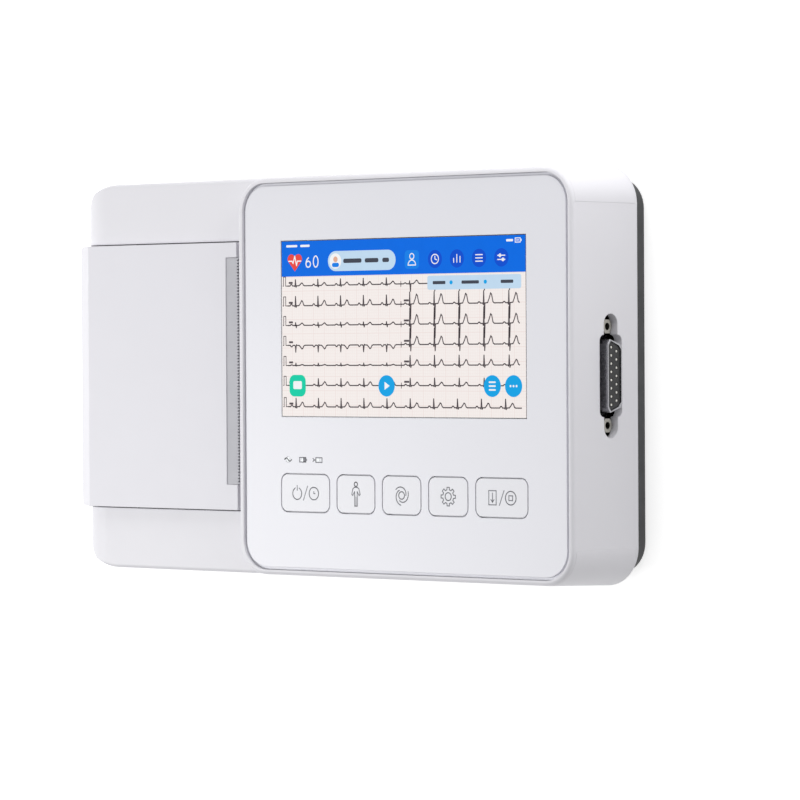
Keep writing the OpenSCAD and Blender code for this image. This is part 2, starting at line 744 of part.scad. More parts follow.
module usb_socket() {
    color(steel) {
        difference() {
            box([usb_x - usb_l / 2, rear_y - 14, rear_z - usb_h / 2], [usb_x + usb_l / 2, rear_y - 0.2, rear_z + usb_h / 2]);
            box([usb_x - usb_l / 2 + 0.4, rear_y - 10, rear_z - usb_h / 2 + 0.4],
                [usb_x + usb_l / 2 - 0.4, rear_y + 1, rear_z + usb_h / 2 - 0.4]);
        }
        box([usb_x - 5.5, rear_y - 10.5, rear_z + 0.2], [usb_x + 5.5, rear_y - 1.5, rear_z + 2.2]);
    }
}

module network_socket() {
    color(black) difference() {
        box([net_x - net_l / 2, rear_y - 18, rear_z - net_h / 2], [net_x + net_l / 2, rear_y - 0.2, rear_z + net_h / 2]);
        box([net_x - 5.9, rear_y - 12, rear_z - 3.4], [net_x + 5.9, rear_y + 1, rear_z + 3.2]);
        box([net_x - 3, rear_y - 9, rear_z + 3.1], [net_x + 3, rear_y + 1, rear_z + 4.8]);
    }
}

// ---- Printer in the body ----

slope = atan(bevel_h / bevel_l);
trough_in = roll_r + 1.3;
trough_out = trough_in + 1.6;
cheek_top = min(door_z - door_t - 1.7, left_z - wall - 0.2);
cheek_left = roll_x - trough_out;
cheek_step = 3;
door_clear = 1.5;
// Height at which the cheek's corner stays clear of the door's slope
cheek_corner_z = door_z - bevel_h - door_t * tan(45 - slope / 2)
    + (cheek_left - door_left_x - door_t) * bevel_h / bevel_l - door_clear;
back_x = raised_x + 0.7;
back_t = 1.8;
head_x = platen_x + platen_r + 0.15;
head_z0 = pinion_z + motor_r + 1.4;
head_z1 = cheek_top - 0.6;
sink_x = head_x + 1;
sink_t = 3.4;
spindle_r = 3;
lug_a = 26;
lug_b = 33.6;
knuckle_a = 34;
knuckle_b = 46;
axle_r = 1.5;

// Paper trough under the roll, with the ramp that leads up to the platen
module trough_outline() {
    difference() {
        translate([roll_x, roll_z]) circle(trough_out);
        translate([roll_x, roll_z]) circle(trough_in);
        translate([roll_x - 50, roll_z + 0.5]) square([100, 50]);
    }
    polygon([[roll_x + trough_in, roll_z + 0.5], [roll_x + trough_in + 0.4, roll_z - 1.4],
        [platen_x - 6.4, platen_z - 5.4], [platen_x - 6.4, platen_z - 3.8]]);
}

module cheek_outline(x1) {
    difference() {
        polygon([[cheek_left + cheek_step, floor_z], [x1, floor_z], [x1, cheek_top],
            [cheek_left + (cheek_top - cheek_corner_z) * bevel_l / bevel_h, cheek_top], [cheek_left, cheek_corner_z],
            [cheek_left, case_z + cheek_step], [cheek_left + cheek_step, case_z + cheek_step]]);
        // Slot that takes the spindle from above
        translate([roll_x, roll_z]) circle(spindle_r + run_clear);
        translate([roll_x - spindle_r - run_clear, roll_z]) square([2 * (spindle_r + run_clear), 40]);
        // Notch that lets the platen shaft swing out with the door
        translate([platen_x, platen_z]) circle(shaft_r + 0.4);
        polygon([[platen_x - shaft_r - 0.4, platen_z], [platen_x + shaft_r + 0.4, platen_z],
            [platen_x + shaft_r + 0.4, platen_z + 20], [platen_x - shaft_r - 5, platen_z + 20]]);
    }
}

module hinge_lug(y0, y1) {
    difference() {
        union() {
            rod_y(hinge_x, hinge_z, barrel_r, y0, y1);
            box([hinge_x, y0, hinge_z - 2], [roll_x - trough_in - 0.8, y1, hinge_z + 2]);
        }
        rod_y(hinge_x, hinge_z, pin_r, y0 - 1, y1 + 1);
        rod_y(roll_x, roll_z, trough_in, y0 - 1, y1 + 1);
    }
}

module printer_chassis() {
    color(dark) {
        along_y(cheek_in_a - eps, cheek_in_b + eps) trough_outline();
        difference() {
            along_y(cheek_in_a - cheek_t, cheek_in_a) cheek_outline(pinion_x + motor_r + 0.5);
            rod_y(pinion_x, pinion_z, 3.2, cheek_in_a - 3, cheek_in_a + 1);
            rod_y(idler_x, idler_z, axle_r, cheek_in_a - 3, cheek_in_a + 1);
        }
        along_y(cheek_in_b, cheek_in_b + cheek_t) cheek_outline(back_x + back_t);
        box([back_x, cheek_in_a - eps, head_z0], [back_x + back_t, cheek_in_b + eps, cheek_top]);
        for (s = [-1, 1]) hinge_lug(s > 0 ? lug_a : -lug_b, s > 0 ? lug_b : -lug_a);
    }
}

module print_head() {
    color([0.85, 0.85, 0.82]) box([head_x, cheek_in_a + 0.4, head_z0], [sink_x, cheek_in_b - 0.4, head_z1]);
}

module head_heat_sink() {
    color(steel) difference() {
        box([sink_x, cheek_in_a + 0.4, head_z0], [sink_x + sink_t, cheek_in_b - 0.4, head_z1]);
        for (i = [0:11]) translate([0, cheek_in_a + 7 + i * 6, 0])
            box([sink_x + 1.4, -1.2, head_z0 - 1], [sink_x + sink_t + 1, 1.2, head_z0 + 2.8]);
    }
}

spring_z = (head_z0 + head_z1) / 2 + 1.5;

// Flat-wound cone springs press the head against the platen
module head_springs() {
    color(steel) for (s = [-1, 1]) translate([0, paper_y + s * 24, 0]) {
        translate([sink_x + sink_t, 0, spring_z]) rotate([0, 90, 0]) difference() {
            cylinder(r1 = 2.6, r2 = 1.6, h = back_x - sink_x - sink_t);
            translate([0, 0, -eps]) cylinder(r1 = 2, r2 = 1, h = back_x - sink_x - sink_t + 2 * eps);
        }
    }
}

module stepper_motor() {
    color(steel) {
        rod_y(pinion_x, pinion_z, motor_r, cheek_in_a, cheek_in_a + motor_len);
        rod_y(pinion_x, pinion_z, 3, cheek_in_a - 1.4, cheek_in_a + 1);
        rod_y(pinion_x, pinion_z, 2, cheek_in_a + motor_len - 1, cheek_in_a + motor_len + 1.2);
    }
}

platen_to_idler = swing - 90;
idler_phase = platen_to_idler + 180 + 180 / idler_teeth;
idler_to_pinion = -pinion_drop;
pinion_phase = idler_to_pinion + 180 - (idler_phase - idler_to_pinion) * idler_teeth / pinion_teeth
    + 180 / pinion_teeth;

module motor_pinion() {
    color([0.80, 0.65, 0.30]) {
        gear_y(pinion_x, pinion_z, pinion_teeth, pinion_phase, 1);
        rod_y(pinion_x, pinion_z, 1, gear_y, cheek_in_a - 1.5);
        rod_y(pinion_x, pinion_z, 1.8, gear_y + gear_t - eps, gear_y + gear_t + 1);
    }
}

module idler_gear() {
    color(white) gear_y(idler_x, idler_z, idler_teeth, idler_phase, axle_r + run_clear);
}

module idler_axle() {
    color(steel) {
        rod_y(idler_x, idler_z, axle_r, gear_y - 0.5, cheek_in_a);
        rod_y(idler_x, idler_z, axle_r + 0.8, gear_y - 1, gear_y - 0.2);
    }
}

module paper_roll() {
    color([0.97, 0.95, 0.93]) difference() {
        rod_y(roll_x, roll_z, roll_r, paper_y - paper_w / 2, paper_y + paper_w / 2);
        rod_y(roll_x, roll_z, core_r, -case_w, case_w);
    }
}

core_r = 7.6;
hub_r = 6.2;

module roll_core() {
    color([0.72, 0.60, 0.45]) difference() {
        rod_y(roll_x, roll_z, core_r, paper_y - paper_w / 2, paper_y + paper_w / 2);
        rod_y(roll_x, roll_z, hub_r, -case_w, case_w);
    }
}

module roll_spindle() {
    color(grey) {
        for (s = [-1, 1]) rod_y(roll_x, roll_z, hub_r, paper_y + s * (paper_w / 2 - 4) - 4, paper_y + s * (paper_w / 2 - 4) + 4);
        rod_y(roll_x, roll_z, spindle_r, cheek_in_a - cheek_t - 0.2, cheek_in_b + cheek_t + 0.2);
    }
}

// ---- Paper door ----

// Line that runs t inside the door's outer face, from the tear edge to the hinge
function door_line(t) = [
    [door_right_x, door_z - t],
    [door_left_x + bevel_l + t * tan(slope / 2), door_z - t],
    [door_left_x + t, door_z - bevel_h - t * tan(45 - slope / 2)],
    [door_left_x + t, hinge_z]
];

module door_outline(t) {
    inner = door_line(t);
    polygon(concat(door_line(0), [for (i = [3:-1:0]) inner[i]]));
}

rim_t = 1.6;
rim_d = 4.2;
skirt_z = hinge_z + barrel_r + 0.6;
tear_x = door_right_x - tear_w + 0.4;
tear_y0 = paper_y - tear_l / 2;
bush_r = 3.4;

module platen_arm(y0) {
    along_y(y0, y0 + arm_t) difference() {
        union() {
            translate([platen_x, platen_z]) circle(5);
            polygon([[platen_x - 5, platen_z], [platen_x + 5, platen_z], [platen_x + 5, door_z - 1],
                [platen_x - 10, door_z - 1]]);
        }
        translate([platen_x, platen_z]) circle(bush_r);
    }
}

arm_a = cheek_in_a - cheek_t - side_gap - arm_t;
arm_b = cheek_in_b + cheek_t + side_gap;

module paper_door() {
    color(white) difference() {
        union() {
            intersection() {
                union() {
                    along_y(-door_w / 2, door_w / 2) door_outline(door_t);
                    for (y = [-door_w / 2, door_w / 2 - rim_t]) along_y(y, y + rim_t) door_outline(rim_d);
                }
                plate(door_left_x, door_right_x + 20, 0, door_w, 3, 0, 60);
            }
            platen_arm(arm_a);
            platen_arm(arm_b);
            for (s = [-1, 1]) rod_y(hinge_x, hinge_z, barrel_r, s > 0 ? knuckle_a : -knuckle_b, s > 0 ? knuckle_b : -knuckle_a);
            // Stiffening ribs across the door between the roll and the platen
            for (i = [0:2]) box([platen_x - 12 - i * 7, cheek_in_a + 1, door_z - door_t - 1.2],
                [platen_x - 10.8 - i * 7, cheek_in_b - 1, door_z - door_t + eps]);
        }
        // The skirt ends above the lugs between the knuckles
        box([door_left_x - 1, -knuckle_a, 0], [hinge_x + 5, knuckle_a, skirt_z]);
        rod_y(hinge_x, hinge_z, pin_r + run_clear, -door_w, door_w);
        rod_y(platen_x, platen_z, bush_r, arm_b - 1, arm_b + arm_t + 0.2);
        // Pocket of the tear strip, open to the paper exit
        box([tear_x, tear_y0, door_z - 1.2], [door_right_x + 1, tear_y0 + tear_l, door_z + 1]);
    }
}

teeth_n = floor(tear_l / tooth_pitch);

module tear_strip() {
    pitch = tear_l / teeth_n;
    color(grey) translate([0, tear_y0, door_z - 1.2]) linear_extrude(1) polygon(concat(
        [[tear_x, 0]],
        [for (i = [0:teeth_n - 1]) for (p = [[0, 0.1], [1.1, 0.5], [0, 0.9]]) [door_right_x + p[0], (i + p[1]) * pitch]],
        [[tear_x, tear_l]]
    ));
}

module hinge_pin() {
    color(steel) rod_y(hinge_x, hinge_z, pin_r, -knuckle_b, knuckle_b);
}

module platen_shaft() {
    color(steel) rod_y(platen_x, platen_z, shaft_r, gear_y - 0.2, arm_b + arm_t);
}

module platen_rubber() {
    color(black) difference() {
        rod_y(platen_x, platen_z, platen_r, paper_y - paper_w / 2 - 0.4, paper_y + paper_w / 2 + 0.4);
        rod_y(platen_x, platen_z, shaft_r, -case_w, case_w);
    }
}

module platen_gear() {
    color(white) gear_y(platen_x, platen_z, platen_teeth, platen_to_idler, shaft_r);
}

module platen_bushes() {
    color([0.80, 0.65, 0.30]) for (y = [arm_a, arm_b]) difference() {
        rod_y(platen_x, platen_z, bush_r, y, y + arm_t);
        rod_y(platen_x, platen_z, shaft_r + run_clear, y - 1, y + arm_t + 1);
    }
}

// ---- Parts ----

upper_case();
bottom_cover();
battery_cover();
rubber_feet();
case_screws();
cover_screws();
front_overlay();
touch_glass();
display_module();
status_lenses();
power_key();
patient_key();
rhythm_key();
menu_key();
print_key();
key_board();
main_board();
power_board();
battery_pack();
speaker();
socket_shell();
socket_insert();
jack_screws();
mains_inlet();
inlet_blades();
earth_stud();
usb_socket();
network_socket();
printer_chassis();
print_head();
head_heat_sink();
head_springs();
stepper_motor();
motor_pinion();
idler_gear();
idler_axle();
paper_roll();
roll_core();
roll_spindle();
paper_door();
tear_strip();
hinge_pin();
platen_shaft();
platen_rubber();
platen_gear();
platen_bushes();
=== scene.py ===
"""Compact electrocardiograph: finishes, printed marks, screen picture, socket details, light and camera."""
import math

import bmesh
import bpy
from mathutils import Matrix, Vector


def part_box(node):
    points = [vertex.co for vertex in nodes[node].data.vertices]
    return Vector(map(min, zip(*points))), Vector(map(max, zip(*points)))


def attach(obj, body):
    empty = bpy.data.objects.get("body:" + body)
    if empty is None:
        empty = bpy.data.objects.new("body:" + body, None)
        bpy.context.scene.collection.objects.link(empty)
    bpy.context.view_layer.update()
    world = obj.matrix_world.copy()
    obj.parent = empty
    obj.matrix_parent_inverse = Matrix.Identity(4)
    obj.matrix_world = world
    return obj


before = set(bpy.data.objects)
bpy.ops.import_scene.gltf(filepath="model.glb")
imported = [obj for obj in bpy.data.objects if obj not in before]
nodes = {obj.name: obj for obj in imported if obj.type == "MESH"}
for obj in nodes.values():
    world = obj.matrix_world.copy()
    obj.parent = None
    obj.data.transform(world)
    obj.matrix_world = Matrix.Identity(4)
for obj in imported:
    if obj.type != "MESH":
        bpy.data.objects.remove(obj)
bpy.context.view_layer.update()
MM = 0.001


# ---------------------------------------------------------------- colours

def linear(r, g, b):
    """An 0-255 screen colour as the linear colour that the shaders take."""
    parts = [v / 255 for v in (r, g, b)]
    return tuple(((v + 0.055) / 1.055) ** 2.4 if v > 0.0404 else v / 12.92 for v in parts) + (1,)


CASE_WHITE = linear(226, 225, 230)
DOOR_WHITE = linear(224, 223, 229)
PANEL_WHITE = linear(226, 226, 232)
KEY_WHITE = linear(226, 226, 231)
COVER_GREY = linear(32, 33, 36)
STRIP_GREY = linear(186, 186, 192)
ICON_GREY = linear(122, 123, 130)
HEADER_BLUE = linear(6, 110, 232)
TILE_BLUE = linear(22, 132, 238)
DISC_BLUE = linear(12, 82, 212)
PILL_BLUE = linear(198, 224, 246)
BUTTON_BLUE = linear(18, 168, 236)
TEAL = linear(18, 212, 172)
HEART_RED = linear(240, 78, 70)
GRID_GROUND = linear(250, 243, 240)
GRID_LINE = linear(240, 222, 218)
TRACE_DARK = linear(92, 84, 88)
PICTURE_WHITE = linear(250, 250, 252)
SKIN_TONE = linear(233, 178, 152)
PAPER_PINK = linear(246, 228, 226)

# How much of the screen picture's light is its own, and how much it takes from the room.
PICTURE_GLOW = 0.42
PICTURE_SHADE = 0.56


# ---------------------------------------------------------------- finishes

def new_finish(name):
    finish = bpy.data.materials.new(name)
    finish.use_nodes = True
    tree = finish.node_tree
    shader = tree.nodes["Principled BSDF"]
    return finish, tree, shader


def object_coordinates(tree, scale=(1, 1, 1)):
    where = tree.nodes.new("ShaderNodeTexCoord")
    mapping = tree.nodes.new("ShaderNodeMapping")
    mapping.inputs["Scale"].default_value = scale
    tree.links.new(where.outputs["Object"], mapping.inputs["Vector"])
    return mapping.outputs["Vector"]


def noise(tree, vector, scale, detail=2.0, roughness=0.5):
    node = tree.nodes.new("ShaderNodeTexNoise")
    node.inputs["Scale"].default_value = scale
    node.inputs["Detail"].default_value = detail
    node.inputs["Roughness"].default_value = roughness
    tree.links.new(vector, node.inputs["Vector"])
    return node.outputs["Fac"]


NOISE_LOW, NOISE_HIGH = 0.3, 0.7


def spread(tree, value, low, high, from_low=NOISE_LOW, from_high=NOISE_HIGH):
    node = tree.nodes.new("ShaderNodeMapRange")
    node.inputs["From Min"].default_value = from_low
    node.inputs["From Max"].default_value = from_high
    node.inputs["To Min"].default_value = low
    node.inputs["To Max"].default_value = high
    tree.links.new(value, node.inputs["Value"])
    return node.outputs["Result"]


def two_tones(tree, value, tone, depth):
    """A colour that wanders a little to each side of tone."""
    ramp = tree.nodes.new("ShaderNodeValToRGB")
    ramp.color_ramp.elements[0].position = NOISE_LOW
    ramp.color_ramp.elements[1].position = NOISE_HIGH
    ramp.color_ramp.elements[0].color = tuple(c * (1 - depth) for c in tone[:3]) + (1,)
    ramp.color_ramp.elements[1].color = tuple(min(1, c * (1 + depth)) for c in tone[:3]) + (1,)
    tree.links.new(value, ramp.inputs["Fac"])
    return ramp.outputs["Color"]


def bumps(tree, shader, height, strength, distance, edge=0.0):
    bump = tree.nodes.new("ShaderNodeBump")
    bump.inputs["Strength"].default_value = strength
    bump.inputs["Distance"].default_value = distance
    tree.links.new(height, bump.inputs["Height"])
    if edge:
        soft = tree.nodes.new("ShaderNodeBevel")
        soft.samples = 4
        soft.inputs["Radius"].default_value = edge
        tree.links.new(soft.outputs["Normal"], bump.inputs["Normal"])
    tree.links.new(bump.outputs["Normal"], shader.inputs["Normal"])


def moulded(name, tone, rough=0.45, grain=2600, grain_depth=0.00002, tone_depth=0.012,
            edge=0.0004, coat=0.0, rough_depth=0.05):
    """Moulded plastic: a fine spark-eroded grain and a barely uneven tone."""
    finish, tree, shader = new_finish(name)
    where = object_coordinates(tree)
    cloud = noise(tree, where, 38)
    wear = noise(tree, where, 150, 3)
    tree.links.new(two_tones(tree, cloud, tone, tone_depth), shader.inputs["Base Color"])
    tree.links.new(spread(tree, wear, rough - rough_depth, rough + rough_depth), shader.inputs["Roughness"])
    bumps(tree, shader, noise(tree, where, grain, 3, 0.6), 0.35, grain_depth, edge)
    shader.inputs["Coat Weight"].default_value = coat
    shader.inputs["Coat Roughness"].default_value = 0.2
    return finish


def metal(name, tone, rough=0.28, stretch=(1, 1, 1), scale=900, depth=0.000012,
          edge=0.0002, tone_depth=0.05):
    """Plated or turned metal with fine marks drawn out along one direction."""
    finish, tree, shader = new_finish(name)
    where = object_coordinates(tree, stretch)
    marks = noise(tree, where, scale, 3, 0.65)
    tree.links.new(two_tones(tree, marks, tone, tone_depth), shader.inputs["Base Color"])
    tree.links.new(spread(tree, marks, rough - 0.08, rough + 0.1), shader.inputs["Roughness"])
    shader.inputs["Metallic"].default_value = 1
    bumps(tree, shader, marks, 0.4, depth, edge)
    return finish


def printed(name, tone, rough=0.5):
    """Ink or a lit picture behind the film: a flat tone with the faint unevenness of a print."""
    finish, tree, shader = new_finish(name)
    where = object_coordinates(tree)
    tree.links.new(two_tones(tree, noise(tree, where, 420, 2), tone, 0.025), shader.inputs["Base Color"])
    shader.inputs["Roughness"].default_value = rough
    return finish


def lit(name, tone):
    """A part of the lit screen picture: some of its light is its own, some comes from the room."""
    finish, tree, shader = new_finish(name)
    where = object_coordinates(tree)
    uneven = noise(tree, where, 300, 2)
    dimmed = tuple(c * PICTURE_SHADE for c in tone[:3]) + (1,)
    tree.links.new(two_tones(tree, uneven, dimmed, 0.015), shader.inputs["Base Color"])
    tree.links.new(two_tones(tree, uneven, tone, 0.015), shader.inputs["Emission Color"])
    shader.inputs["Emission Strength"].default_value = PICTURE_GLOW
    shader.inputs["Roughness"].default_value = 0.35
    shader.inputs["Specular IOR Level"].default_value = 0.03
    return finish


def give(node, *finishes):
    slots = nodes[node].data.materials
    slots.clear()
    for finish in finishes:
        slots.append(finish)


case_plastic = moulded("case_plastic", CASE_WHITE, rough=0.42, tone_depth=0.005, rough_depth=0.015)
door_plastic = moulded("door_plastic", DOOR_WHITE, rough=0.42, tone_depth=0.005, rough_depth=0.015)
cover_plastic = moulded("cover_plastic", COVER_GREY, rough=0.5, tone_depth=0.04)
panel_film = moulded("panel_film", PANEL_WHITE, rough=0.28, grain_depth=0.000001, tone_depth=0.003,
                     edge=0.0003, rough_depth=0.002)
key_film = moulded("key_film", KEY_WHITE, rough=0.28, grain_depth=0.000001, tone_depth=0.003,
                   edge=0.0003, rough_depth=0.002)
strip_plastic = moulded("strip_plastic", STRIP_GREY, rough=0.5)
dark_insert = moulded("dark_insert", linear(26, 26, 29), rough=0.42, tone_depth=0.06)
chassis_plastic = moulded("chassis_plastic", linear(96, 97, 102), rough=0.5, tone_depth=0.04)
soft_rubber = moulded("soft_rubber", linear(38, 38, 40), rough=0.75, grain=1500, grain_depth=0.00005,
                      tone_depth=0.08)
platen_soft = moulded("platen_soft", linear(44, 44, 48), rough=0.62, grain=3500, tone_depth=0.06)
gear_plastic = moulded("gear_plastic", linear(232, 230, 222), rough=0.38)
lens_plastic = moulded("lens_plastic", linear(214, 219, 222), rough=0.2, coat=0.6)
screen_glass = moulded("screen_glass", linear(34, 36, 42), rough=0.12, grain_depth=0.000002, coat=0.8)
shell_metal = metal("shell_metal", linear(214, 214, 216), rough=0.26)
# The lead socket's shell: its nickel is given a darker tone than its own, a painted dark reflection of its
# recess.
socket_metal_painted_reflection = metal("socket_metal_painted_reflection", linear(158, 158, 162), rough=0.24, depth=0.000003, tone_depth=0.03)
jack_metal = metal("jack_metal", linear(146, 144, 138), rough=0.34, scale=1500)
insert_black = moulded("insert_black", linear(13, 13, 15), rough=0.5, grain_depth=0.000004,
                       tone_depth=0.06)
contact_metal = metal("contact_metal", linear(206, 204, 198), rough=0.3, scale=1500)
screw_metal = metal("screw_metal", linear(196, 196, 198), rough=0.3, scale=1500)
brass_metal = metal("brass_metal", linear(218, 184, 110), rough=0.26)
alloy_metal = metal("alloy_metal", linear(186, 188, 192), rough=0.36, stretch=(1, 0.08, 1), scale=1200)
steel_metal = metal("steel_metal", linear(200, 201, 204), rough=0.25, stretch=(1, 0.06, 1), scale=1400)
board_green = moulded("board_green", linear(30, 92, 62), rough=0.4, grain=700, grain_depth=0.00004,
                      tone_depth=0.1, coat=0.4)
battery_wrap = moulded("battery_wrap", linear(52, 84, 140), rough=0.3, tone_depth=0.04, coat=0.3)
ceramic_grey = moulded("ceramic_grey", linear(206, 204, 196), rough=0.2, tone_depth=0.03, coat=0.5)
card_brown = moulded("card_brown", linear(176, 148, 112), rough=0.8, grain=900, grain_depth=0.00006,
                     tone_depth=0.1)
roll_paper = moulded("roll_paper", PAPER_PINK, rough=0.75, grain=4000, tone_depth=0.02)

FINISHES = {
    "upper_case": case_plastic, "bottom_cover": cover_plastic, "battery_cover": cover_plastic,
    "rubber_feet": soft_rubber, "case_screws": screw_metal, "cover_screws": screw_metal,
    "front_overlay": panel_film, "touch_glass": screen_glass, "display_module": steel_metal,
    "status_lenses": lens_plastic, "power_key": key_film, "patient_key": key_film, "rhythm_key": key_film,
    "menu_key": key_film, "print_key": key_film, "key_board": board_green, "main_board": board_green,
    "power_board": board_green, "battery_pack": battery_wrap, "speaker": dark_insert,
    "socket_shell": socket_metal_painted_reflection, "socket_insert": insert_black, "jack_screws": jack_metal,
    "mains_inlet": dark_insert, "inlet_blades": shell_metal, "earth_stud": brass_metal,
    "usb_socket": shell_metal, "network_socket": dark_insert, "printer_chassis": chassis_plastic,
    "print_head": ceramic_grey, "head_heat_sink": alloy_metal, "head_springs": screw_metal,
    "stepper_motor": steel_metal, "motor_pinion": brass_metal, "idler_gear": gear_plastic,
    "idler_axle": steel_metal, "paper_roll": roll_paper, "roll_core": card_brown,
    "roll_spindle": chassis_plastic, "paper_door": door_plastic, "tear_strip": strip_plastic,
    "hinge_pin": steel_metal, "platen_shaft": steel_metal, "platen_rubber": platen_soft,
    "platen_gear": gear_plastic, "platen_bushes": brass_metal,
}
for node, finish in FINISHES.items():
    give(node, finish)

# ---------------------------------------------------------------- flat shapes: prints and the screen picture

CORNER_STEPS = 6
BAR_OVERLAP = 0.3


def add_object(name, mesh, finish, body):
    mesh.materials.append(finish)
    piece = bpy.data.objects.new(name, mesh)
    bpy.context.scene.collection.objects.link(piece)
    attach(piece, body)
    return piece


def flat_plate(shape, x, y, length, width, corner=0.0):
    """A thin plate about (x, y), one unit thick from z = 0 up, with round corners."""
    made = bmesh.ops.create_cube(shape, size=1)["verts"]
    bmesh.ops.scale(shape, vec=(length, width, 1), verts=made)
    bmesh.ops.translate(shape, vec=(x, y, 0.5), verts=made)
    if corner:
        upright = {edge for vert in made for edge in vert.link_edges
                   if abs(edge.verts[0].co.z - edge.verts[1].co.z) > 0.5}
        bmesh.ops.bevel(shape, geom=list(upright), offset=corner, offset_type="OFFSET",
                        segments=CORNER_STEPS, profile=0.5, affect="EDGES", material=-1)


def flat_disc(shape, x, y, radius, sides=32):
    made = bmesh.ops.create_cone(shape, cap_ends=True, segments=sides,
                                 radius1=radius, radius2=radius, depth=1)["verts"]
    bmesh.ops.translate(shape, vec=(x, y, 0.5), verts=made)


def raise_faces(shape, faces):
    raised = bmesh.ops.extrude_face_region(shape, geom=faces)["geom"]
    tops = [part for part in raised if isinstance(part, bmesh.types.BMVert)]
    bmesh.ops.translate(shape, vec=(0, 0, 1), verts=tops)


def flat_outline(shape, points):
    """A thin plate of any outline: the outline is filled, then raised."""
    face = shape.faces.new([shape.verts.new((x, y, 0)) for x, y in points])
    raise_faces(shape, [face])
    bmesh.ops.recalc_face_normals(shape, faces=shape.faces)


def lay_flat(name, shape, z, thick, finish, body):
    """Turns shapes drawn in millimetres, one unit thick, into a print that lies at height z."""
    bmesh.ops.scale(shape, vec=(MM, MM, thick * MM), verts=shape.verts)
    bmesh.ops.translate(shape, vec=(0, 0, z), verts=shape.verts)
    bmesh.ops.recalc_face_normals(shape, faces=shape.faces)
    mesh = bpy.data.meshes.new(name)
    shape.to_mesh(mesh)
    shape.free()
    return add_object(name, mesh, finish, body)


def lay_lines(name, paths, width, z, thick, finish, body):
    """Lines of one width along paths in millimetres, one thin bar to each step, all raised together."""
    shape = bmesh.new()
    faces = []
    for path in paths:
        for (ax, ay), (bx, by) in zip(path, path[1:]):
            length = math.dist((ax, ay), (bx, by))
            if length < 1e-6:
                continue
            along_x, along_y = (bx - ax) / length * width, (by - ay) / length * width
            ends = ((ax, ay, -1, 1), (bx, by, 1, 1), (bx, by, 1, -1), (ax, ay, -1, -1))
            corners = []
            for end_x, end_y, way, side in ends:
                corners.append((end_x + side * along_y / 2 + way * along_x * BAR_OVERLAP,
                                end_y - side * along_x / 2 + way * along_y * BAR_OVERLAP))
            faces.append(shape.faces.new([shape.verts.new((x, y, 0)) for x, y in corners]))
    raise_faces(shape, faces)
    return lay_flat(name, shape, z, thick, finish, body)


def arc(x, y, radius, start, end, steps=16, squash=1.0):
    """Points on an arc about (x, y), angles in degrees."""
    turn = [math.radians(start + (end - start) * i / steps) for i in range(steps + 1)]
    return [(x + radius * math.cos(a), y + radius * squash * math.sin(a)) for a in turn]


def ring(x, y, radius, steps=28):
    return arc(x, y, radius, 0, 360, steps)


# ---------------------------------------------------------------- case corners

CASE_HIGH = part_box("upper_case")[1]
CASE_FOOT = 12.0
WALL_RISE = 32.9
CASE_LEAN = 1.3
CORNER_FOOT_R = 13.3
FILL_PROUD = 0.02
FILL_THICK = 1.6
FILL_LOW, FILL_HIGH = 13.0, 44.6
FILL_TURNS = 24


def corner_fill(name, way):
    """A skin over the rounded corner of the raised end, on the side that way points to."""
    middle_x = CASE_HIGH.x / MM - CORNER_FOOT_R
    middle_y = way * (CASE_HIGH.y / MM - CORNER_FOOT_R)
    turned = [math.radians(90 * step / FILL_TURNS) for step in range(FILL_TURNS + 1)]
    shape = bmesh.new()
    rows = []
    for z in (FILL_LOW, FILL_HIGH):
        outer = CORNER_FOOT_R - CASE_LEAN * (z - CASE_FOOT) / WALL_RISE + FILL_PROUD
        for radius in (outer, outer - FILL_THICK):
            row = []
            for a in turned:
                x = middle_x + radius * math.cos(a)
                y = middle_y + way * radius * math.sin(a)
                row.append(shape.verts.new((x * MM, y * MM, z * MM)))
            rows.append(row)
    low_out, low_in, high_out, high_in = rows
    for one, two in ((low_out, high_out), (high_out, high_in), (high_in, low_in), (low_in, low_out)):
        for step in range(FILL_TURNS):
            face = shape.faces.new((one[step], one[step + 1], two[step + 1], two[step]))
            face.smooth = one is low_out
    for end in (0, -1):
        shape.faces.new((low_out[end], high_out[end], high_in[end], low_in[end]))
    bmesh.ops.recalc_face_normals(shape, faces=shape.faces)
    for edge in shape.edges:
        edge.smooth = all(face.smooth for face in edge.link_faces)
    mesh = bpy.data.meshes.new(name)
    shape.to_mesh(mesh)
    shape.free()
    add_object(name, mesh, case_plastic, "casing")


corner_fill("corner_fill_rear", 1)
corner_fill("corner_fill_front", -1)

# ---------------------------------------------------------------- contacts of the lead socket

INSERT_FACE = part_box("socket_insert")[1].x
SHELL_LOW, SHELL_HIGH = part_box("socket_shell")
CONTACT_PITCH = 2.76
CONTACT_ROW = 1.42
CONTACT_R = 0.42
CONTACT_SUNK = 0.00006
CONTACT_LONG = 0.0004
CONTACT_SIDES = 14


def contacts():
    """The spring contact that shows in each of the fifteen holes."""
    middle_z = (SHELL_LOW.z + SHELL_HIGH.z) / 2
    shape = bmesh.new()
    for count, row in ((8, 1), (7, -1)):
        for i in range(count):
            made = bmesh.ops.create_cone(shape, cap_ends=True, segments=CONTACT_SIDES, radius1=CONTACT_R * MM,
                                         radius2=CONTACT_R * MM, depth=CONTACT_LONG)["verts"]
            bmesh.ops.rotate(shape, cent=(0, 0, 0), matrix=Matrix.Rotation(math.pi / 2, 3, "Y"), verts=made)
            x = INSERT_FACE - CONTACT_SUNK - CONTACT_LONG / 2
            y = (i - (count - 1) / 2) * CONTACT_PITCH * MM
            z = middle_z + row * CONTACT_ROW * MM
            bmesh.ops.translate(shape, vec=(x, y, z), verts=made)
    mesh = bpy.data.meshes.new("socket_contacts")
    shape.to_mesh(mesh)
    shape.free()
    add_object("socket_contacts", mesh, contact_metal, "casing")


contacts()

# ---------------------------------------------------------------- screen picture

